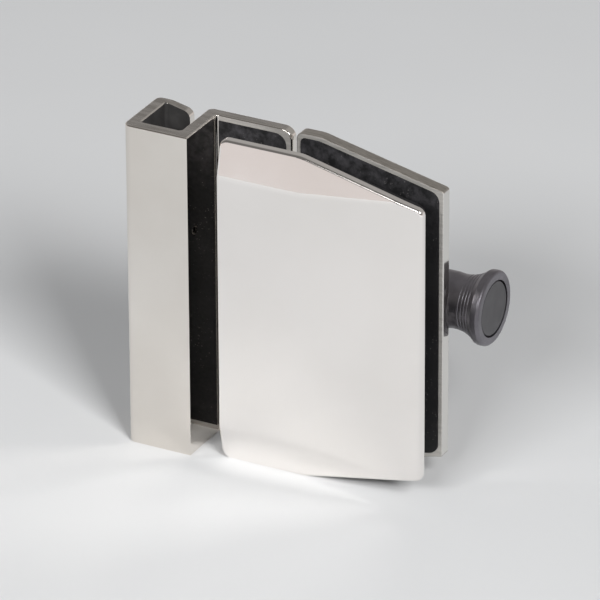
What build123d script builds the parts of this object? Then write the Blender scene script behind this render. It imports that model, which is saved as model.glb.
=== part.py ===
from build123d import *
import math
import os

# Pool gate latch for a frameless glass gate that closes beside a post or wall.
# The strike goes on the post. The latch half clamps the gate's glass and carries the bolt.
# Sizes are in millimetres. X runs from the post along the closed gate, Y from the front
# to the rear, and Z up. The origin is on the strike's post face, in the middle plane of
# the glass, at half of the height.

# Shared sizes
height = 105.0
edge_break = 0.5
end_round = 0.6
plate_edge_round = 0.4

# Glass and the soft layers on it
glass_thickness = 8.0
gasket_thickness = 1.5
gasket_proud = 0.3
gasket_play = 0.1
strike_gasket_rim = 1.9
strike_gasket_corner = 3.6
body_gasket_rim = 1.5
body_gasket_left_corner = 1.5
body_gasket_right_corner = 3.4
pad_thickness = 6.4

# Strike profile, seen from above
channel_width = 21.4
channel_wall = 4.0
channel_depth = 21.8
channel_front_corner = 2.4
channel_rear_corner = 2.0
channel_inner_corner = 0.9
strike_plate_reach = 25.0
strike_plate_thickness = 3.5
strike_plate_corner = 3.5
lip_reach = 12.2
lip_thickness = 2.8
lip_slope = 13.0
lip_corner = 2.6

# Post fixings and the lock screw in the strike
post_hole_spacing = 64.0
post_hole_radius = 2.1
post_hole_depth_position = -2.4
lock_screw_radius = 1.5
lock_screw_height = 20.9
lock_screw_setback = 4.2
lock_screw_sink = 1.6
lock_screw_past_wall = 0.2
lock_screw_socket = 0.85
screw_play = 0.02

# Keeper on the back of the strike plate
keeper_length = 13.4
keeper_half_height = 9.5
keeper_flange_thickness = 3.0
keeper_flange_reach = 9.5
keeper_flange_corner = 2.0
keeper_screw_inset = 4.8
keeper_screw_radius = 2.0
keeper_screw_end_gap = 0.2
keeper_screw_head_radius = 3.5
keeper_screw_head_height = 2.2
keeper_screw_head_round = 0.8
keeper_screw_socket = 1.3
keeper_screw_socket_depth = 1.2
keeper_wall = 3.2

# Latch half plates, seen from the front
plate_gap = 1.5
body_length = 48.1
body_thickness = 4.0
body_flat_length = 7.8
body_end_half_height = 43.4
body_left_corner = 2.2
body_right_corner = 1.0
body_bend = 8.0
front_overlap = 18.1
front_length = 67.1
front_thickness = 2.0
front_flat_length = 26.9
front_end_half_height = 44.0
front_left_corner = 2.8
front_right_corner = 2.4
front_bend = 14.0
front_edge_round = 1.0
flap_height = 11.6
flap_setback = 2.6
flap_bend = 8.0
side_setback = 1.0
side_bend = 200.0
pad_rim = 2.6
pad_corner = 3.0

# Clamp screws through both plates
clamp_setback = 24.1
clamp_spacing = 56.0
clamp_screw_radius = 3.0
clamp_hole_radius = 3.3
clamp_head_radius = 5.2
clamp_head_height = 3.4
clamp_head_round = 2.0
clamp_socket = 2.0
clamp_socket_depth = 2.0
clamp_boss_radius = 6.0
clamp_boss_play = 0.3
clamp_boss_root = 0.5
clamp_thread_depth = 6.6
clamp_screw_end_play = 0.4
washer_radius = 6.2
washer_thickness = 1.0
sleeve_radius = 5.0
sleeve_play = 0.1
sleeve_side_play = 0.3

# Bolt, its housing and the parts on its axis
axis_behind_body = 13.0
bolt_radius = 5.0
bolt_engagement = 8.4
bolt_release = 1.1
bolt_bevel_angle = 40.0
bolt_flat = 2.2
running_play = 0.05
bolt_side_play = 0.6
bolt_end_play = 1.6
housing_left_setback = 1.8
housing_right_setback = 11.8
housing_rear_wall = 2.0
housing_side_wall = 2.6
housing_corner = 4.5
bore_radius = 7.0
bush_length = 5.5
bush_wall = 1.0
bush_flange = 1.0
stem_bush_length = 6.7
bush_screw_radius = 1.5
bush_screw_socket = 0.8
bush_screw_socket_depth = 1.2
bush_screw_end_gap = 0.2
bush_screw_web = 0.9
keyway_depth = 1.2

# Collar, guide pin and spring
stop_gap = 0.3
collar_length = 2.6
collar_play = 0.4
guide_pin_radius = 1.25
guide_pin_depth = 1.6
guide_pin_play = 0.05
guide_pin_end_gap = 0.3
spring_wire = 1.0
spring_mean_radius = 5.4
spring_turns = 6
spring_end_gap = 0.3

# Stem and knob
stem_radius = 3.0
stem_in_bolt = 10.0
knob_gap = 0.5
knob_length = 19.7
knob_base_radius = 8.5
knob_waist_radius = 8.3
knob_waist_setback = 8.0
knob_waist_arc = 12.2
knob_head_radius = 11.45
knob_head_length = 2.8
knob_rim_flare = 0.9
knob_rim_round = 1.0
knob_groove_setback = 1.6
knob_groove_pitch = 1.2
knob_groove_count = 4
knob_groove_radius = 0.28
knob_groove_depth = 0.17
cap_radius = 8.35
cap_thickness = 1.5
cap_groove_width = 0.4
cap_sink = 0.15
cap_edge = 0.25
knob_screw_radius = 2.0
knob_screw_head_radius = 3.5
knob_screw_head_height = 3.0
knob_screw_socket = 1.6
knob_screw_recess_play = 0.5
knob_screw_thread = 8.0
knob_web = 3.0
buffer_width = 2.0
buffer_thickness = 1.6
buffer_gap = 0.2

# Planes and places worked out from the sizes above
top = height / 2
glass_front = -glass_thickness / 2
glass_rear = glass_thickness / 2
seat_plane = glass_rear + gasket_proud
recess_floor = glass_rear + gasket_thickness
channel_right = channel_width
strike_rear = seat_plane + strike_plate_thickness
channel_front = strike_rear - channel_depth
strike_right = channel_right + strike_plate_reach
body_left = strike_right + plate_gap
body_right = body_left + body_length
body_taper_start = body_left + body_flat_length
body_rear = seat_plane + body_thickness
front_inside = glass_front - pad_thickness
front_face = front_inside - front_thickness
front_left = body_left - front_overlap
front_right = front_left + front_length
front_taper_start = front_left + front_flat_length
flap_start = top - flap_height
flap_slope = flap_setback / flap_height
side_slope = side_setback / (front_right - front_taper_start)
axis_y = body_rear + axis_behind_body
travel = bolt_engagement + bolt_release
bolt_tip = strike_right - bolt_engagement
keeper_left = strike_right - keeper_length
housing_left = body_left + housing_left_setback
housing_right = body_right - housing_right_setback
housing_rear = axis_y + bore_radius + housing_rear_wall
housing_side = bore_radius + housing_side_wall
bore_start = housing_left + bush_length
bush_bore = bolt_radius + running_play
bush_radius = bush_bore + bush_wall
collar_left = bore_start + bush_flange + stop_gap
collar_right = collar_left + collar_length
stem_bush_left = housing_right - stem_bush_length
knob_base = housing_right + knob_gap
knob_end = knob_base + knob_length
knob_head_start = knob_end - knob_head_length
knob_waist_position = knob_head_start - knob_waist_setback
cap_back = knob_end - cap_thickness
head_seat = cap_back - knob_screw_head_height - knob_screw_recess_play
stem_end = head_seat - knob_web
stem_start = collar_right - stem_in_bolt
pin_hole_floor = bolt_radius - guide_pin_depth
clamp_position = body_left + clamp_setback
clamp_heights = (-clamp_spacing / 2, clamp_spacing / 2)
keeper_screw_heights = (
    -(keeper_half_height + keeper_screw_inset),
    keeper_half_height + keeper_screw_inset,
)


def along_x(radius, start, end, y=axis_y, z=0.0):
    """A round bar along X."""
    bar = Cylinder(radius, end - start, align=(Align.CENTER, Align.CENTER, Align.MIN))
    return Pos(start, y, z) * Rot(0, 90, 0) * bar


def along_y(radius, start, end, x, z):
    """A round bar along Y."""
    bar = Cylinder(radius, end - start, align=(Align.CENTER, Align.CENTER, Align.MIN))
    return Pos(x, start, z) * Rot(-90, 0, 0) * bar


def block(x_range, y_range, z_range):
    """A box between two values on each axis."""
    size = [span[1] - span[0] for span in (x_range, y_range, z_range)]
    corner = Pos(x_range[0], y_range[0], z_range[0])
    return corner * Box(*size, align=(Align.MIN, Align.MIN, Align.MIN))


def rounded(face, corners, radius):
    """The flat face with the corners at the given points rounded."""
    chosen = [
        vertex
        for vertex in face.vertices()
        if any(math.hypot(vertex.X - x, vertex.Y - y) < 0.01 for x, y in corners)
    ]
    return fillet(chosen, radius)


def upright(face, start, end):
    """The flat face, drawn in X and Z, as a plate between two values of Y."""
    plane = Plane(origin=(0, end, 0), x_dir=(1, 0, 0), z_dir=(0, -1, 0))
    return extrude(plane * face, end - start)


def swept_along_x(points, start, end, corners=(), radius=0.0):
    """A profile of Y and Z points, drawn out along X."""
    face = make_face(Polyline(*points, close=True))
    if corners:
        face = rounded(face, corners, radius)
    plane = Plane(origin=(start, 0, 0), x_dir=(0, 1, 0), z_dir=(1, 0, 0))
    return extrude(plane * face, end - start)


def tapered_outline(left, right, taper_start, end_half_height, inset, radii):
    """A plate's outline: flat top and bottom, then a taper to a shorter right edge.

    The inset moves every side inwards by the same amount. The radii are those of the
    left corners, the bends and the right corners.
    """
    turn = math.atan2(top - end_half_height, right - taper_start)
    bend_x = taper_start - inset * math.tan(turn / 2)
    end_z = end_half_height - inset * math.tan((math.pi / 2 - turn) / 2)
    upper = [(left + inset, top - inset), (bend_x, top - inset), (right - inset, end_z)]
    lower = [(x, -z) for x, z in upper]
    outline = make_face(Polyline(*upper, *lower[::-1], close=True))
    for corners, radius in zip(zip(upper, lower), radii):
        outline = rounded(outline, corners, radius)
    return outline


def rounded_edges(solid, y_value, size):
    """The solid with a small round along the edges of its flat face at one value of Y."""
    edges = [
        edge
        for edge in solid.edges()
        if abs(edge.bounding_box().min.Y - y_value) < 0.001
        and abs(edge.bounding_box().max.Y - y_value) < 0.001
    ]
    return fillet(edges, size)


# Strike


def strike_profile():
    """The strike's section from above, with its bends rounded."""
    inner = channel_right - channel_wall
    points = [
        (0, channel_front),
        (channel_right, channel_front),
        (channel_right, seat_plane),
        (strike_right, seat_plane),
        (strike_right, strike_rear),
        (inner, strike_rear),
        (inner, channel_front + channel_wall),
        (channel_wall, channel_front + channel_wall),
        (channel_wall, strike_rear - lip_thickness),
        (lip_reach, strike_rear - lip_thickness),
        (lip_reach, strike_rear),
        (0, strike_rear),
    ]
    face = make_face(Polyline(*points, close=True))
    face = rounded(face, [points[0]], channel_front_corner)
    face = rounded(face, [points[5], points[11]], channel_rear_corner)
    return rounded(face, [points[2], points[6], points[7], points[8]], channel_inner_corner)


def lip_cut(side, drop):
    """The wedge above or below the lip that slopes its edge towards its free end."""
    over = 1.0
    near = strike_rear - lip_thickness - channel_inner_corner
    wedge = make_face(
        Polyline(
            (channel_wall, side * top),
            (lip_reach, side * (top - drop)),
            (lip_reach + over, side * (top - drop)),
            (lip_reach + over, side * (top + over)),
            (channel_wall, side * (top + over)),
            close=True,
        )
    )
    return upright(wedge, near, strike_rear + over)


def strike_channel():
    body = extrude(strike_profile(), height)
    body = Pos(0, 0, -top) * body
    plate_corners = [
        edge for edge in body.edges().filter_by(Axis.Y) if abs(edge.center().X - strike_right) < 0.01
    ]
    body = fillet(plate_corners, strike_plate_corner)
    plate_end = strike_right - strike_plate_corner - 0.01
    rim = [
        edge
        for edge in body.edges()
        if abs(abs(edge.center().Z) - top) < 0.01
        or (edge.bounding_box().min.X > plate_end and edge not in body.edges().filter_by(Axis.Y))
    ]
    body = fillet(rim, end_round)
    drop = (lip_reach - channel_wall) * math.tan(math.radians(lip_slope))
    for side in (-1, 1):
        body -= lip_cut(side, drop)
    free_corners = [
        edge
        for edge in body.edges().filter_by(Axis.Y)
        if abs(edge.center().X - lip_reach) < 0.01
        and abs(abs(edge.center().Z) - (top - drop)) < 0.01
    ]
    body = fillet(free_corners, lip_corner)
    body -= upright(strike_gasket_outline(gasket_play), seat_plane - 1, recess_floor)
    for z in (-post_hole_spacing / 2, post_hole_spacing / 2):
        body -= along_x(post_hole_radius, -1, channel_wall + 1, post_hole_depth_position, z)
    lock_y = channel_front + lock_screw_setback
    hole = lock_screw_radius + screw_play
    body -= along_x(hole, channel_right - channel_wall - 1, channel_right + 1, lock_y, lock_screw_height)
    for z in keeper_screw_heights:
        x = keeper_left + keeper_length / 2
        hole = keeper_screw_radius + screw_play
        body -= along_y(hole, seat_plane - 1, strike_rear + 1, x, z)
    return body


def strike_gasket_outline(grow):
    """The strip's outline, grown by the play round it."""
    left = channel_right + channel_inner_corner - grow
    right = strike_right - strike_gasket_rim + grow
    half = top - strike_gasket_rim + grow
    face = make_face(
        Polyline((left, -half), (right, -half), (right, half), (left, half), close=True)
    )
    return rounded(face, [(right, -half), (right, half)], strike_gasket_corner + grow)


def strike_gasket():
    """The strip that the glass closes against, set in the plate and a little proud of it."""
    return upright(strike_gasket_outline(0), glass_rear, recess_floor)


def strike_keeper():
    """A block with a round pocket for the bolt, and a flange above and below for its screws."""
    rear = axis_y + bolt_radius + bolt_side_play + keeper_wall
    half_flange = keeper_half_height + keeper_flange_reach
    span = (keeper_left, strike_right)
    flange = block(span, (strike_rear, strike_rear + keeper_flange_thickness), (-half_flange, half_flange))
    flange = fillet(flange.edges().filter_by(Axis.Y), keeper_flange_corner)
    half = keeper_half_height
    points = [(strike_rear, -half), (rear, -half), (rear, half), (strike_rear, half)]
    body = flange + swept_along_x(points, *span, corners=points[1:3], radius=housing_corner)
    pocket_floor = bolt_tip - bolt_end_play
    body -= along_x(bolt_radius + bolt_side_play, pocket_floor, strike_right + 1)
    for z in keeper_screw_heights:
        x = keeper_left + keeper_length / 2
        hole = keeper_screw_radius + screw_play
        body -= along_y(hole, strike_rear - 1, rear, x, z)
    return body


def keeper_screws():
    """Pan head screws through the keeper's flanges into the strike plate."""
    screws = []
    for z in keeper_screw_heights:
        x = keeper_left + keeper_length / 2
        under_head = strike_rear + keeper_flange_thickness
        head_end = under_head + keeper_screw_head_height
        head = along_y(keeper_screw_head_radius, under_head, head_end, x, z)
        head_rim = head.edges().filter_by(GeomType.CIRCLE).sort_by(Axis.Y)[-1:]
        head = fillet(head_rim, keeper_screw_head_round)
        end = recess_floor + keeper_screw_end_gap
        screw = head + along_y(keeper_screw_radius, end, under_head, x, z)
        socket_floor = head_end - keeper_screw_socket_depth
        screw -= hex_socket_y(keeper_screw_socket, socket_floor, head_end, x, z)
        screws.append(screw)
    return Compound(screws)


def hex_socket_y(radius, start, end, x, z):
    """A hexagon socket along Y."""
    return upright(Pos(x, z) * RegularPolygon(radius, 6), start, end)


def hex_socket_x(radius, mouth, depth, y, z):
    """A hexagon socket along X, open to the right."""
    plane = Plane(origin=(mouth, y, z), z_dir=(1, 0, 0))
    return extrude(plane * RegularPolygon(radius, 6), -depth)


def lock_screw():
    """A grub screw sunk in the channel's inner wall."""
    y = channel_front + lock_screw_setback
    left = channel_right - channel_wall - lock_screw_past_wall
    right = channel_right - lock_screw_sink
    screw = along_x(lock_screw_radius, left, right, y, lock_screw_height)
    return screw - hex_socket_x(lock_screw_socket, right, (right - left) / 2, y, lock_screw_height)


# Latch half


def side_fall(x):
    """How far the front plate's main face lies back at a value of X, before its soft bend."""
    return max(0, x - front_taper_start) * side_slope


def flap_fall(z):
    """How far the planes of the two flaps lie back at a value of Z."""
    return (abs(z) - flap_start) * flap_slope


def front_dish(depth):
    """All that lies behind the front plate's surface, moved to the rear by the given depth."""
    surface = front_face + depth
    left = front_left - 1
    right = front_right + 1
    bend = (front_taper_start, surface)
    plan = [
        (left, surface),
        bend,
        (right, surface + side_fall(right)),
        (right, glass_front),
        (left, glass_front),
    ]
    face = rounded(make_face(Polyline(*plan, close=True)), [bend], side_bend)
    dish = extrude(Plane.XY.offset(-top) * face, 2 * top)
    flaps = [(surface + flap_fall(z), z) for z in (-top, 0, top)]
    dish &= swept_along_x([*flaps, (glass_front, top), (glass_front, -top)], left, right)
    folds = []
    for edge in dish.edges():
        middle = edge @ 0.5
        on_main_face = abs(middle.Y - surface - side_fall(middle.X)) < front_thickness / 10
        on_flap = abs(middle.Y - surface - flap_fall(middle.Z)) < front_thickness / 10
        if on_main_face and on_flap:
            folds.append(edge)
    return fillet(folds, flap_bend)


def front_outline(inset, radii):
    return tapered_outline(
        front_left, front_right, front_taper_start, front_end_half_height, inset, radii
    )


def front_rim(plate):
    """The edges round the front plate's polished surface."""
    rim = []
    walls = [face for face in plate.faces() if abs(face.normal_at().Y) < 0.01]
    for wall in walls:
        for edge in wall.edges():
            middle = edge @ 0.5
            fall = max(side_fall(middle.X), flap_fall(middle.Z))
            in_front = middle.Y < front_face + fall + front_thickness / 2
            if in_front and abs((edge % 0.5).Y) < 0.9 and edge.length > 0.01:
                rim.append(edge)
    return rim


def front_plate():
    """A sheet bent back at the top, the bottom and, very slightly, the right."""
    radii = (front_left_corner, front_bend, front_right_corner)
    outline = upright(front_outline(0, radii), front_face - 1, glass_front)
    plate = (front_dish(0) - front_dish(front_thickness)) & outline
    plate = fillet(front_rim(plate), front_edge_round)
    for z in clamp_heights:
        plate += along_y(clamp_boss_radius, front_inside - clamp_boss_root, glass_front, clamp_position, z)
        hole = clamp_screw_radius + screw_play
        depth = (glass_front - clamp_thread_depth, glass_front + 1)
        plate -= along_y(hole, *depth, clamp_position, z)
    return plate


def front_pad():
    """The soft pad that fills the front plate's dish up to the glass."""
    radii = (pad_corner, front_bend - pad_rim, pad_corner)
    pad = upright(front_outline(pad_rim, radii), front_face - 1, glass_front)
    pad &= front_dish(front_thickness)
    for z in clamp_heights:
        hole = clamp_boss_radius + clamp_boss_play
        pad -= along_y(hole, front_face, glass_front + 1, clamp_position, z)
    return pad


def body_outline(inset, radii):
    return tapered_outline(
        body_left, body_right, body_taper_start, body_end_half_height, inset, radii
    )


def rear_body():
    """The plate behind the glass, with the bolt's housing on its back."""
    radii = (body_left_corner, body_bend, body_right_corner)
    plate = upright(body_outline(0, radii), seat_plane, body_rear)
    plate = rounded_edges(plate, seat_plane, plate_edge_round)
    plate = rounded_edges(plate, body_rear, plate_edge_round)
    points = [
        (body_rear, -housing_side),
        (housing_rear, -housing_side),
        (housing_rear, housing_side),
        (body_rear, housing_side),
    ]
    housing = swept_along_x(points, housing_left, housing_right, points[1:3], housing_corner)
    body = plate + housing
    body -= upright(rear_gasket_outline(gasket_play), seat_plane - 1, recess_floor)
    body -= along_x(bush_radius, housing_left - 1, bore_start + 1)
    body -= along_x(bore_radius, bore_start, housing_right + 1)
    slot_half = guide_pin_radius + guide_pin_play
    slot_top = bore_radius + keyway_depth
    body -= block(
        (bore_start, housing_right + 1), (axis_y - slot_half, axis_y + slot_half), (0, slot_top)
    )
    x = stem_bush_left + stem_bush_length / 2
    hole = bush_screw_radius + screw_play
    body -= along_y(hole, axis_y, housing_rear + 1, x, 0)
    for z in clamp_heights:
        body -= along_y(clamp_hole_radius, seat_plane - 1, body_rear + 1, clamp_position, z)
    return body


def rear_gasket_outline(grow):
    """The gasket's outline, grown by the play round it."""
    radii = (
        body_gasket_left_corner + grow,
        body_bend - body_gasket_rim + grow,
        body_gasket_right_corner + grow,
    )
    return body_outline(body_gasket_rim - grow, radii)


def rear_gasket():
    """The soft layer between the glass and the rear body, set in the plate."""
    gasket = upright(rear_gasket_outline(0), glass_rear, recess_floor)
    for z in clamp_heights:
        hole = sleeve_radius + sleeve_side_play
        gasket -= along_y(hole, glass_rear - 1, recess_floor + 1, clamp_position, z)
    return gasket


def clamp_screws():
    """Button head screws from the rear into the front plate's bosses."""
    screws = []
    for z in clamp_heights:
        under_head = body_rear + washer_thickness
        head_end = under_head + clamp_head_height
        head = along_y(clamp_head_radius, under_head, head_end, clamp_position, z)
        head_rim = head.edges().filter_by(GeomType.CIRCLE).sort_by(Axis.Y)[-1:]
        head = fillet(head_rim, clamp_head_round)
        tip = glass_front - clamp_thread_depth + clamp_screw_end_play
        screw = head + along_y(clamp_screw_radius, tip, under_head, clamp_position, z)
        socket_floor = head_end - clamp_socket_depth
        screw -= hex_socket_y(clamp_socket, socket_floor, head_end, clamp_position, z)
        screws.append(screw)
    return Compound(screws)


def clamp_washers():
    washers = []
    for z in clamp_heights:
        ring = along_y(washer_radius, body_rear, body_rear + washer_thickness, clamp_position, z)
        hole = along_y(clamp_hole_radius, body_rear - 1, body_rear + washer_thickness + 1, clamp_position, z)
        washers.append(ring - hole)
    return Compound(washers)


def clamp_sleeves():
    """Sleeves round the screws, through the holes in the glass and the rear gasket."""
    sleeves = []
    for z in clamp_heights:
        start = glass_front + sleeve_play
        end = recess_floor - sleeve_play
        sleeve = along_y(sleeve_radius, start, end, clamp_position, z)
        hole = clamp_screw_radius + sleeve_play
        sleeves.append(sleeve - along_y(hole, start - 1, end + 1, clamp_position, z))
    return Compound(sleeves)


def bolt_bush():
    """A flanged bush that guides the bolt in the housing's left end."""
    bush = along_x(bush_radius, housing_left, bore_start)
    bush += along_x(bore_radius, bore_start, bore_start + bush_flange)
    return bush - along_x(bush_bore, housing_left - 1, bore_start + bush_flange + 1)


def stem_bush():
    """A plug that guides the stem in the housing's right end and carries the spring."""
    bush = along_x(bore_radius, stem_bush_left, housing_right)
    bush -= along_x(stem_radius + running_play, stem_bush_left - 1, housing_right + 1)
    x = stem_bush_left + stem_bush_length / 2
    hole = bush_screw_radius + screw_play
    hole_floor = axis_y + stem_radius + bush_screw_web
    return bush - along_y(hole, hole_floor, axis_y + bore_radius + 1, x, 0)


def bush_screw():
    """A grub screw from the housing's rear face into the stem bush."""
    x = stem_bush_left + stem_bush_length / 2
    start = axis_y + stem_radius + bush_screw_web + bush_screw_end_gap
    screw = along_y(bush_screw_radius, start, housing_rear, x, 0)
    socket_floor = housing_rear - bush_screw_socket_depth
    return screw - hex_socket_y(bush_screw_socket, socket_floor, housing_rear, x, 0)


def bolt_spring():
    """A compression spring between the collar and the stem bush."""
    free_length = stem_bush_left - collar_right - 2 * spring_end_gap - spring_wire
    pitch = free_length / spring_turns
    start = collar_right + spring_end_gap + spring_wire / 2
    path = Helix(pitch, free_length, spring_mean_radius)
    section = Plane(origin=path @ 0, z_dir=path % 0) * Circle(spring_wire / 2)
    coil = sweep(section, path=path)
    least_gap = pitch * math.cos(math.atan(pitch / (2 * math.pi * spring_mean_radius))) - spring_wire
    pulled_gap = least_gap - travel / spring_turns
    print("spring: gap between turns", round(least_gap, 2), "mm")
    print("spring: gap with the knob pulled", round(pulled_gap, 2), "mm")
    return Pos(start, axis_y, 0) * Rot(0, 90, 0) * coil


# Pull assembly


def guide_pin_bar(radius, start, end):
    """A round bar out of the bolt's axis, upwards, at the middle of the collar."""
    bar = Cylinder(radius, end - start, align=(Align.CENTER, Align.CENTER, Align.MIN))
    return Pos(collar_left + collar_length / 2, axis_y, start) * bar


def latch_bolt():
    """The round bolt, bevelled on the side that meets the strike as the gate closes."""
    bolt = along_x(bolt_radius, bolt_tip, collar_right)
    slope = math.tan(math.radians(bolt_bevel_angle))
    low = axis_y - bolt_radius + bolt_flat
    over = 2.0
    rise = axis_y + bolt_radius + over - low
    wedge = make_face(
        Polyline(
            (bolt_tip - over, low - over * slope),
            (bolt_tip, low),
            (bolt_tip + rise / slope, low + rise),
            (bolt_tip - over, low + rise),
            close=True,
        )
    )
    bolt -= Pos(0, 0, -bolt_radius - 1) * extrude(wedge, 2 * bolt_radius + 2)
    bolt -= along_x(stem_radius + screw_play, stem_start, collar_right + 1)
    return bolt - guide_pin_bar(guide_pin_radius + screw_play, pin_hole_floor, bolt_radius + 1)


def bolt_collar():
    """The ring on the bolt that meets the bush's flange and takes the spring."""
    collar = along_x(bore_radius - collar_play, collar_left, collar_right)
    collar -= along_x(bolt_radius + screw_play, collar_left - 1, collar_right + 1)
    return collar - guide_pin_bar(guide_pin_radius + screw_play, 0, bore_radius + 1)


def guide_pin():
    """A radial pin through the collar that rides in the housing's keyway."""
    start = pin_hole_floor + guide_pin_end_gap
    end = bore_radius + keyway_depth - guide_pin_end_gap
    return guide_pin_bar(guide_pin_radius, start, end)


def pull_stem():
    """The rod from the bolt to the knob, tapped in its end for the knob's screw."""
    stem = along_x(stem_radius, stem_start + stop_gap, stem_end)
    hole = knob_screw_radius + screw_play
    return stem - along_x(hole, stem_end - knob_screw_thread - 1, stem_end + 1)


def knob_profile():
    """The knob's half section: a waist of one large arc, and a thin rounded head."""

    def waist(x):
        offset_x = x - knob_waist_position
        return knob_waist_radius + knob_waist_arc - math.sqrt(knob_waist_arc**2 - offset_x**2)

    rise = knob_base_radius - knob_waist_radius
    waist_start = knob_waist_position - math.sqrt(2 * rise * knob_waist_arc - rise**2)
    flare = waist(knob_head_start)
    middle = (waist_start + knob_head_start) / 2
    rim_start = knob_head_start + knob_rim_flare
    rim_end = knob_end - knob_rim_round
    lines = [
        Line((knob_base, 0), (knob_base, knob_base_radius - edge_break)),
        Line((knob_base, knob_base_radius - edge_break), (knob_base + edge_break, knob_base_radius)),
        Line((knob_base + edge_break, knob_base_radius), (waist_start, knob_base_radius)),
        ThreePointArc(
            (waist_start, knob_base_radius), (middle, waist(middle)), (knob_head_start, flare)
        ),
        Spline(
            (knob_head_start, flare),
            (rim_start, knob_head_radius),
            tangents=((1, 1.0), (1, 0)),
        ),
        Line((rim_start, knob_head_radius), (rim_end, knob_head_radius)),
        ThreePointArc(
            (rim_end, knob_head_radius),
            (
                rim_end + knob_rim_round * math.sin(math.pi / 4),
                knob_head_radius - knob_rim_round * (1 - math.cos(math.pi / 4)),
            ),
            (knob_end, knob_head_radius - knob_rim_round),
        ),
        Line((knob_end, knob_head_radius - knob_rim_round), (knob_end, 0)),
        Line((knob_end, 0), (knob_base, 0)),
    ]
    return make_face(lines), waist


def knob():
    profile, waist = knob_profile()
    body = Pos(0, axis_y, 0) * revolve(profile, Axis.X)
    for index in range(knob_groove_count):
        x = knob_head_start - knob_groove_setback - index * knob_groove_pitch
        groove = Torus(waist(x) + knob_groove_radius - knob_groove_depth, knob_groove_radius)
        body -= Pos(x, axis_y, 0) * Rot(0, 90, 0) * groove
    recess = cap_radius + cap_groove_width
    body -= along_x(recess, cap_back, knob_end + 1)
    head_recess = knob_screw_head_radius + knob_screw_recess_play
    body -= along_x(head_recess, head_seat, knob_end)
    body -= along_x(knob_screw_radius + screw_play, stem_end - 1, knob_end)
    body -= along_x(stem_radius + screw_play, knob_base - 1, stem_end)
    body -= along_x(stem_radius + buffer_width, knob_base - 1, knob_base + buffer_thickness - buffer_gap)
    return body


def knob_cap():
    """The disc set in the knob's face, with a narrow groove left round it."""
    cap = along_x(cap_radius, cap_back, knob_end - cap_sink)
    return chamfer(cap.edges().filter_by(GeomType.CIRCLE).sort_by(Axis.X)[-1:], cap_edge)


def knob_screw():
    """The cap head screw under the disc that holds the knob on the stem."""
    head_end = head_seat + knob_screw_head_height
    screw = along_x(knob_screw_head_radius, head_seat, head_end)
    screw += along_x(knob_screw_radius, stem_end - knob_screw_thread, head_seat)
    return screw - hex_socket_x(knob_screw_socket, head_end, knob_screw_head_height / 2, axis_y, 0)


def knob_buffer():
    """A soft ring in the knob's base that quietens its return."""
    start = knob_base - buffer_gap
    end = knob_base + buffer_thickness - buffer_gap
    ring = along_x(stem_radius + buffer_width, start, end)
    return ring - along_x(stem_radius + screw_play, start - 1, end + 1)


pieces = {
    "strike_channel": strike_channel,
    "strike_gasket": strike_gasket,
    "strike_keeper": strike_keeper,
    "keeper_screws": keeper_screws,
    "lock_screw": lock_screw,
    "front_plate": front_plate,
    "front_pad": front_pad,
    "rear_body": rear_body,
    "rear_gasket": rear_gasket,
    "clamp_screws": clamp_screws,
    "clamp_washers": clamp_washers,
    "clamp_sleeves": clamp_sleeves,
    "bolt_bush": bolt_bush,
    "stem_bush": stem_bush,
    "bush_screw": bush_screw,
    "bolt_spring": bolt_spring,
    "latch_bolt": latch_bolt,
    "bolt_collar": bolt_collar,
    "guide_pin": guide_pin,
    "pull_stem": pull_stem,
    "knob": knob,
    "knob_cap": knob_cap,
    "knob_screw": knob_screw,
    "knob_buffer": knob_buffer,
}

os.makedirs("parts", exist_ok=True)
for name, make in pieces.items():
    export_step(make(), f"parts/{name}.step")
print(len(pieces), "pieces")
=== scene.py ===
import math

import bpy
from mathutils import Matrix, Vector


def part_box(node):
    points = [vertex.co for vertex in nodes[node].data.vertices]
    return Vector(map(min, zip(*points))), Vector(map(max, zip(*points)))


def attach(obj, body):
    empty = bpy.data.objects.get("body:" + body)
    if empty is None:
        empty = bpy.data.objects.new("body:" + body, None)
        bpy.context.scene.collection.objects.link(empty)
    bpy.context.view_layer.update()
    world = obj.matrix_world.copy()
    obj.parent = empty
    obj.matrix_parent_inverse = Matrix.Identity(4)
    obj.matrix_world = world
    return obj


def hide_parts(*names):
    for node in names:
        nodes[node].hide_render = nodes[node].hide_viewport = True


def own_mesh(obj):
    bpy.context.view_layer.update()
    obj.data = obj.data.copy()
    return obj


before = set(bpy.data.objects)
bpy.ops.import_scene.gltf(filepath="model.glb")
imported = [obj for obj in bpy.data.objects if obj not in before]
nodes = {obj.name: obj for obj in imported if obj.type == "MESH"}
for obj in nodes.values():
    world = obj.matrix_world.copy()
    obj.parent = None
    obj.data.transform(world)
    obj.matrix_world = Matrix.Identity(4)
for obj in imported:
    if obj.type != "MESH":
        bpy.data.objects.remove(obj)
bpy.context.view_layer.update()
scene = bpy.context.scene
scene.view_settings.view_transform = "Standard"

# The plates throw clear patches of light on the floor, so their reflections aren't blurred there.
scene.cycles.blur_glossy = 0.1

# Places from the frame, in metres
floor_z = min(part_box("front_plate")[0][2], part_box("strike_channel")[0][2])
rim_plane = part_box("rear_body")[0][1]
channel_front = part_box("strike_channel")[0][1]

# The strike's channel, in metres: its wall and width, the rear plane of its hollow, and
# how far its painted shade reaches past the hollow's faces
channel_wall = 0.004
channel_width = 0.0214
hollow_rear = 0.005
hollow_margin = 0.00005

# The point that the lamps face and the camera is aimed near
middle = Vector((0.05, 0, 0))


# Camera, fitted to the photograph: angles in degrees, distances in metres, and the focal
# length in pixels of the photograph. The target lies a little beside the middle.
view_azimuth = 27.672
view_elevation = 26.713
view_roll = -0.287
view_distance = 1.953
target_right = 0.000962
target_up = -0.000022
focal_pixels = 6628
photo_pixels = 600
sensor_width = 36


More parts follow.
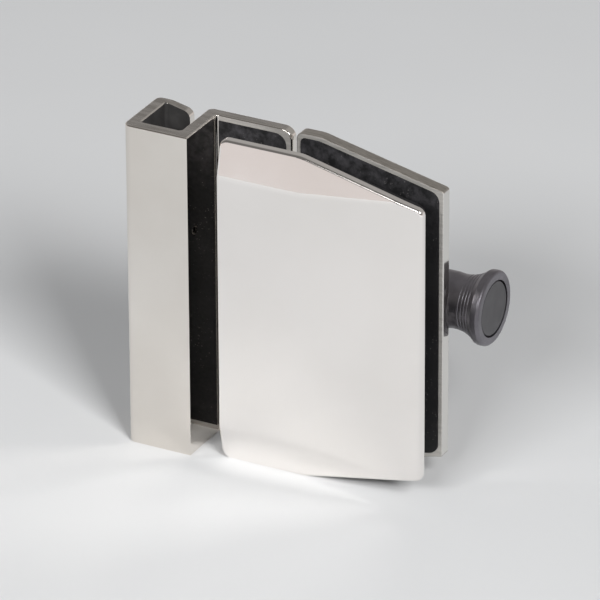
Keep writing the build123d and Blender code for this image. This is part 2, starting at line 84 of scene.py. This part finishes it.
def add_camera():
    """The camera at the photograph's viewing angle."""
    azimuth = math.radians(view_azimuth)
    elevation = math.radians(view_elevation)
    roll = math.radians(view_roll)
    forward = Vector(
        (
            -math.sin(azimuth) * math.cos(elevation),
            math.cos(azimuth) * math.cos(elevation),
            -math.sin(elevation),
        )
    )
    level_right = Vector((math.cos(azimuth), math.sin(azimuth), 0))
    level_up = level_right.cross(forward)
    right = math.cos(roll) * level_right + math.sin(roll) * level_up
    up = math.cos(roll) * level_up - math.sin(roll) * level_right
    target = middle + target_right * right + target_up * up

    data = bpy.data.cameras.new("camera")
    data.sensor_width = sensor_width
    data.lens = focal_pixels * sensor_width / photo_pixels
    data.clip_start = 0.05
    data.clip_end = 60
    camera = bpy.data.objects.new("camera", data)
    scene.collection.objects.link(camera)
    turn = Matrix((right, up, -forward)).transposed().to_4x4()
    camera.matrix_world = Matrix.Translation(target - view_distance * forward) @ turn
    scene.camera = camera


add_camera()


# Node helpers


def is_socket(value):
    """True for a node's socket, and false for a plain number or colour."""
    return hasattr(value, "is_linked")


class Graph:
    """The node tree of a material or world, with short calls for the nodes used here."""

    def __init__(self, owner):
        owner.use_nodes = True
        self.tree = owner.node_tree
        self.tree.nodes.clear()
        self.place = self.add("ShaderNodeTexCoord")

    def add(self, kind, **values):
        """A new node, with an underscore for each space in the names of its inputs."""
        node = self.tree.nodes.new(kind)
        for name, value in values.items():
            node.inputs[name.replace("_", " ")].default_value = value
        return node

    def link(self, source, target):
        self.tree.links.new(source, target)

    def put(self, socket, value):
        """A socket's input, which is another socket or a plain value."""
        if is_socket(value):
            self.link(value, socket)
        else:
            socket.default_value = value

    def axis(self, which, space="Object"):
        """The place along one axis, or the direction's share along it."""
        node = self.add("ShaderNodeSeparateXYZ")
        self.link(self.place.outputs[space], node.inputs[0])
        return node.outputs[which]

    def stretched(self, stretch):
        node = self.add("ShaderNodeMapping", Scale=stretch)
        self.link(self.place.outputs["Object"], node.inputs["Vector"])
        return node.outputs[0]

    def noise(self, scale, detail=3.0, roughness=0.5, stretch=(1, 1, 1), distortion=0.0):
        node = self.add("ShaderNodeTexNoise", Scale=scale, Detail=detail, Roughness=roughness)
        node.inputs["Distortion"].default_value = distortion
        self.link(self.stretched(stretch), node.inputs["Vector"])
        return node.outputs["Fac"]

    def cells(self, scale):
        node = self.add("ShaderNodeTexVoronoi", Scale=scale)
        self.link(self.place.outputs["Object"], node.inputs["Vector"])
        return node.outputs["Distance"]

    def ramp(self, value, low, high, start=0.0, end=1.0, kind="LINEAR"):
        node = self.add("ShaderNodeMapRange", From_Min=low, From_Max=high, To_Min=start, To_Max=end)
        node.interpolation_type = kind
        self.link(value, node.inputs["Value"])
        return node.outputs[0]

    def spread(self, value, start=0.0, end=1.0):
        """A noise's usual range, changed to run from the start value to the end value."""
        return self.ramp(value, 0.3, 0.7, start, end)

    def math(self, operation, first, second=0.0):
        node = self.add("ShaderNodeMath")
        node.operation = operation
        self.put(node.inputs[0], first)
        self.put(node.inputs[1], second)
        return node.outputs[0]

    def times(self, first, second):
        return self.math("MULTIPLY", first, second)

    def mix(self, factor, first, second):
        """Two colours mixed. Each is a socket or three channels."""
        node = self.add("ShaderNodeMix")
        node.data_type = "RGBA"
        self.put(node.inputs["Factor"], factor)
        colors = [socket for socket in node.inputs if socket.type == "RGBA"]
        for socket, value in zip(colors, (first, second)):
            self.put(socket, value if is_socket(value) else (*value, 1))
        return [socket for socket in node.outputs if socket.type == "RGBA"][0]

    def blend(self, factor, first, second):
        """Two numbers mixed."""
        node = self.add("ShaderNodeMix")
        node.data_type = "FLOAT"
        self.put(node.inputs["Factor"], factor)
        self.put(node.inputs["A"], first)
        self.put(node.inputs["B"], second)
        return node.outputs[0]

    def bump(self, height, strength, depth, under=None):
        node = self.add("ShaderNodeBump", Strength=strength, Distance=depth)
        self.link(height, node.inputs["Height"])
        if under is not None:
            self.link(under, node.inputs["Normal"])
        return node.outputs[0]


class Surface(Graph):
    """A new material with one shader."""

    def __init__(self, name):
        self.material = bpy.data.materials.new(name)
        super().__init__(self.material)
        self.shader = self.add("ShaderNodeBsdfPrincipled")
        output = self.add("ShaderNodeOutputMaterial")
        self.link(self.shader.outputs[0], output.inputs["Surface"])

    def finish(self, color, metal, rough, normal, specular=0.5):
        values = {
            "Base Color": color,
            "Metallic": metal,
            "Roughness": rough,
            "Normal": normal,
            "Specular IOR Level": specular,
        }
        for name, value in values.items():
            self.put(self.shader.inputs[name], value)
        return self.material


# Finishes. A noise's scale is in waves per metre, and a bump's depth is in metres.


def scaled(color, factor, more=0.0):
    """A colour's channels multiplied, with a little more added."""
    return tuple(channel * factor + more for channel in color)


def polish(look, dark, light):
    """Colour, roughness and normal of mirror polished steel with faint wear."""
    tone = look.ramp(look.noise(22, detail=4), 0.35, 0.65)
    color = look.mix(tone, dark, light)
    smudge = look.ramp(look.noise(45, detail=5, roughness=0.6), 0.45, 0.75, 0.0, 0.035)
    long_noise = look.noise(300, detail=2, stretch=(1, 1, 14), distortion=0.3)
    scratch = look.ramp(long_noise, 0.62, 0.72, 0.0, 0.03)
    rough = look.math("ADD", look.math("ADD", 0.05, smudge), scratch)
    peel = look.bump(look.noise(260, detail=2), 0.25, 0.00001)
    normal = look.bump(look.noise(2600, detail=2, stretch=(0.06, 1, 1)), 0.06, 0.00001, peel)
    return color, rough, normal


def satin(look, base, mask, lines, dark, light, level):
    """The base's colour, roughness and normal changed to lined satin where the mask is one."""
    color, rough, normal = base
    color = look.mix(mask, color, look.mix(look.spread(lines), dark, light))
    rough = look.blend(mask, rough, look.spread(lines, level, level + 0.12))
    normal = look.bump(look.times(lines, mask), 0.3, 0.00003, normal)
    return color, rough, normal


def rim_mask(look):
    """One on the front faces round the two gaskets, which lie in one plane."""
    facing = look.ramp(look.axis(1, "Normal"), -0.99, -0.9, 1.0, 0.0)
    depth = look.math("ABSOLUTE", look.math("SUBTRACT", look.axis(1), rim_plane))
    return look.times(facing, look.ramp(depth, 0.0001, 0.0003, 1.0, 0.0))


def hollow_mask(look):
    """One on the faces of the strike's hollow, where painted shade goes."""
    hollow_x = (channel_wall - hollow_margin, channel_width - channel_wall + hollow_margin)
    hollow_y = (channel_front + channel_wall - hollow_margin, hollow_rear + hollow_margin)
    inside = 1.0
    for which, (low, high) in enumerate((hollow_x, hollow_y)):
        inside = look.times(inside, look.math("GREATER_THAN", look.axis(which), low))
        inside = look.times(inside, look.math("LESS_THAN", look.axis(which), high))
    return inside


def plate_steel():
    """The front plate's mirror finish."""
    look = Surface("plate_steel")
    color, rough, normal = polish(look, (0.91, 0.88, 0.85), (0.95, 0.92, 0.895))
    return look.finish(color, 1.0, rough, normal)


def strike_steel():
    """A warmer mirror finish, darkened as painted shade, with brushed saw cuts, a satin rim and a
    hollow coloured near black as painted shade.
    """
    look = Surface("strike_steel")
    # The steel's colour is warmer than the plate's, and its darker level is painted shade.
    base = polish(look, (0.76, 0.72, 0.67), (0.82, 0.785, 0.74))
    lines = look.noise(1500, detail=3, stretch=(0.05, 0.4, 1))
    cut = look.ramp(look.math("ABSOLUTE", look.axis(2, "Normal")), 0.90, 0.985)
    base = satin(look, base, cut, lines, (0.38, 0.355, 0.33), (0.60, 0.575, 0.55), 0.2)
    rim = rim_mask(look)
    base = satin(look, base, rim, lines, (0.40, 0.38, 0.36), (0.52, 0.50, 0.47), 0.4)
    color, rough, normal = base
    # Painted shade: the hollow's faces are coloured near black, with a mottle, for the shade inside
    # the channel.
    inside = hollow_mask(look)
    hollow_shade_mottle = look.ramp(look.noise(160, detail=5), 0.35, 0.7)
    hollow_painted_shade = look.mix(hollow_shade_mottle, (0.050, 0.048, 0.048), (0.090, 0.087, 0.085))
    color = look.mix(inside, color, hollow_painted_shade)
    rough = look.blend(inside, rough, 0.6)
    metal = look.blend(look.math("MAXIMUM", inside, rim), 1.0, 0.45)
    return look.finish(color, metal, rough, normal)


def body_steel():
    """Satin steel brushed along X, polished at its ends, duller on the sawn edges and the rim."""
    look = Surface("body_steel")
    lines = look.noise(1500, detail=3, stretch=(0.05, 1, 1))
    end = look.ramp(look.math("ABSOLUTE", look.axis(0, "Normal")), 0.5, 0.85)
    color = look.mix(look.spread(lines), (0.66, 0.64, 0.61), (0.76, 0.745, 0.715))
    color = look.mix(end, color, (0.72, 0.705, 0.675))
    rough = look.blend(end, look.spread(lines, 0.20, 0.30), 0.07)
    normal = look.bump(look.times(lines, look.math("SUBTRACT", 1.0, end)), 0.15, 0.00002)
    base = (color, rough, normal)
    upward = look.ramp(look.math("ABSOLUTE", look.axis(2, "Normal")), 0.12, 0.35)
    base = satin(look, base, upward, lines, (0.40, 0.375, 0.34), (0.58, 0.55, 0.51), 0.36)
    rim = rim_mask(look)
    base = satin(look, base, rim, lines, (0.42, 0.405, 0.38), (0.54, 0.52, 0.49), 0.42)
    color, rough, normal = base
    return look.finish(color, look.blend(rim, 1.0, 0.45), rough, normal)


def satin_steel(name, color):
    """Satin stainless steel for screws and inner pieces."""
    look = Surface(name)
    lines = look.noise(2200, detail=3, stretch=(0.15, 1, 1))
    shade = look.mix(look.spread(lines), color, scaled(color, 1.2))
    return look.finish(shade, 1.0, look.spread(lines, 0.24, 0.36), look.bump(lines, 0.2, 0.00002))


def rubber(name, color, dust, top_grey):
    """Matt black rubber with a fine moulded grain, specks of dust and grey patches towards the top.
    """
    look = Surface(name)
    grain = look.noise(900, detail=4)
    worn = look.mix(look.spread(look.noise(70, detail=3)), color, scaled(color, 1.5, 0.003))
    # Grey patches that grow towards the top.
    cloud = look.ramp(look.noise(260, detail=6, roughness=0.7), 0.42, 0.68, 0.0, top_grey)
    near_top = look.ramp(look.axis(2), 0.024, 0.046)
    worn = look.mix(look.times(cloud, near_top), worn, (0.105, 0.100, 0.108))
    specks = look.ramp(look.cells(1100), 0.10, 0.16, 1.0, 0.0)
    sparse = look.ramp(look.noise(160, detail=3), 0.50, 0.62)
    dusty = look.mix(look.times(look.times(specks, sparse), dust), worn, (0.32, 0.31, 0.30))
    rough = look.spread(grain, 0.62, 0.82)
    return look.finish(dusty, 0.0, rough, look.bump(grain, 0.4, 0.00006), specular=0.35)


def gunmetal(name, color, metal, level, turned):
    """Dark satin coated metal with fine turning marks round the X axis.

    The level is that of its roughness, and turned is the strength of the marks.
    """
    look = Surface(name)
    marks = look.noise(5200, detail=2, stretch=(1, 0.02, 0.02))
    cloud = look.ramp(look.noise(180, detail=4), 0.35, 0.65)
    shade = look.mix(cloud, color, scaled(color, 1.35, 0.006))
    rough = look.math("ADD", look.spread(marks, level, level + 0.1), look.times(cloud, 0.04))
    fine = look.bump(look.noise(2400, detail=3), 0.06, 0.00002)
    return look.finish(shade, metal, rough, look.bump(marks, turned, 0.00003, fine))


def plastic(name, color):
    """Moulded plastic with a fine grain."""
    look = Surface(name)
    grain = look.noise(1200, detail=3)
    shade = look.mix(look.ramp(look.noise(120), 0.35, 0.65), color, scaled(color, 0.9))
    return look.finish(shade, 0.0, look.spread(grain, 0.38, 0.52), look.bump(grain, 0.2, 0.00003))


strike_finish = strike_steel()
plate_finish = plate_steel()
body_finish = body_steel()
black_rubber = rubber("black_rubber", (0.007, 0.007, 0.0075), dust=0.6, top_grey=0.42)
soft_pad = rubber("soft_pad", (0.006, 0.006, 0.0065), dust=0.4, top_grey=0.2)
knob_metal = gunmetal("knob_metal", (0.150, 0.143, 0.158), metal=0.9, level=0.28, turned=0.04)
cap_metal = gunmetal("cap_metal", (0.064, 0.062, 0.066), metal=0.75, level=0.3, turned=0.05)
black_steel = satin_steel("black_steel", (0.045, 0.044, 0.043))
screw_steel = satin_steel("screw_steel", (0.60, 0.585, 0.565))
spring_steel = satin_steel("spring_steel", (0.50, 0.49, 0.48))
white_plastic = plastic("white_plastic", (0.80, 0.78, 0.72))
dark_plastic = plastic("dark_plastic", (0.03, 0.03, 0.03))

node_materials = {
    "strike_channel": strike_finish,
    "strike_gasket": black_rubber,
    "strike_keeper": screw_steel,
    "keeper_screws": screw_steel,
    "lock_screw": black_steel,
    "front_plate": plate_finish,
    "front_pad": soft_pad,
    "rear_body": body_finish,
    "rear_gasket": black_rubber,
    "clamp_screws": screw_steel,
    "clamp_washers": screw_steel,
    "clamp_sleeves": dark_plastic,
    "bolt_bush": white_plastic,
    "stem_bush": white_plastic,
    "bush_screw": screw_steel,
    "bolt_spring": spring_steel,
    "latch_bolt": screw_steel,
    "bolt_collar": screw_steel,
    "guide_pin": screw_steel,
    "pull_stem": screw_steel,
    "knob": knob_metal,
    "knob_cap": cap_metal,
    "knob_screw": screw_steel,
    "knob_buffer": soft_pad,
}
for node, material in node_materials.items():
    mesh = nodes[node].data
    mesh.materials.clear()
    mesh.materials.append(material)


# Spring: a copy that stands for its node, attached to the gate half's body


def add_spring():
    """The bolt's spring, copied from its node and attached to the gate half's body."""
    coil = bpy.data.objects.new("spring_coil", nodes["bolt_spring"].data.copy())
    coil.matrix_world = nodes["bolt_spring"].matrix_world.copy()
    scene.collection.objects.link(coil)
    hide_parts("bolt_spring")
    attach(coil, "gate_half")
    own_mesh(coil)


add_spring()


# Floor: plain pale grey, with the faintest mottling


def floor_paper():
    """Pale grey paper."""
    look = Surface("floor_grey")
    mottle = look.spread(look.noise(9, detail=4))
    color = look.mix(mottle, (0.745, 0.75, 0.755), (0.765, 0.77, 0.775))
    grain = look.bump(look.noise(700, detail=3), 0.05, 0.0001)
    return look.finish(color, 0.0, 0.85, grain, specular=0.15)


def add_floor(reach):
    """A square floor that reaches as far as given to each side."""
    corners = [(-reach, -reach), (reach, -reach), (reach, reach), (-reach, reach)]
    mesh = bpy.data.meshes.new("floor")
    mesh.from_pydata([(x, y, floor_z) for x, y in corners], [], [(0, 1, 2, 3)])
    mesh.materials.append(floor_paper())
    floor = bpy.data.objects.new("floor", mesh)
    scene.collection.objects.link(floor)


add_floor(reach=1.4)


# Lamps: one soft box to the right of the camera and one to its left


def lamp(name, compass, rise, away, width, height, power, mirrored):
    """A soft box that faces the object, placed by its angles from +X and from the floor.

    It is made of two lamps at one place. Polished metal shows only the first, which has the
    mirrored share of the power, so the plates throw a weaker patch of light on the floor.
    """
    level = Vector((math.cos(math.radians(compass)), math.sin(math.radians(compass)), 0))
    angle = math.radians(rise)
    direction = level * math.cos(angle) + Vector((0, 0, math.sin(angle)))
    for share, in_metal in ((mirrored, True), (1 - mirrored, False)):
        data = bpy.data.lights.new(name, "AREA")
        data.shape = "RECTANGLE"
        data.size = width
        data.size_y = height
        data.energy = power * share
        box = bpy.data.objects.new(name, data)
        box.location = middle + direction * away
        box.rotation_euler = (-direction).to_track_quat("-Z", "Y").to_euler()
        box.visible_glossy = in_metal
        scene.collection.objects.link(box)


lamp("right_box", -38.1, 35.4, away=3.5, width=1.12, height=1.22, power=108.0, mirrored=0.36)
lamp("left_box", -91.3, 32.2, away=3.5, width=1.86, height=0.70, power=72.0, mirrored=0.3)


# World: weak even light on surfaces, and a pale studio seen by the camera and in the metal


def add_world():
    """A pale horizon and a darker studio above it, darkest at the front."""
    world = bpy.data.worlds.new("studio")
    scene.world = world
    look = Graph(world)
    front = look.ramp(look.axis(1, "Generated"), 0.25, -0.35, kind="SMOOTHSTEP")
    upper = look.mix(front, (0.36, 0.35, 0.34), (0.15, 0.145, 0.14))
    rise = look.ramp(look.axis(2, "Generated"), 0.04, 0.22, kind="SMOOTHSTEP")
    seen = look.add("ShaderNodeBackground", Strength=1.0)
    look.link(look.mix(rise, (0.715, 0.667, 0.655), upper), seen.inputs["Color"])
    fill = look.add("ShaderNodeBackground", Color=(0.95, 0.97, 1.0, 1), Strength=0.11)
    path = look.add("ShaderNodeLightPath")
    shown = look.math("MAXIMUM", path.outputs["Is Camera Ray"], path.outputs["Is Glossy Ray"])
    switch = look.add("ShaderNodeMixShader")
    look.link(shown, switch.inputs["Fac"])
    look.link(fill.outputs[0], switch.inputs[1])
    look.link(seen.outputs[0], switch.inputs[2])
    look.link(switch.outputs[0], look.add("ShaderNodeOutputWorld").inputs["Surface"])


add_world()
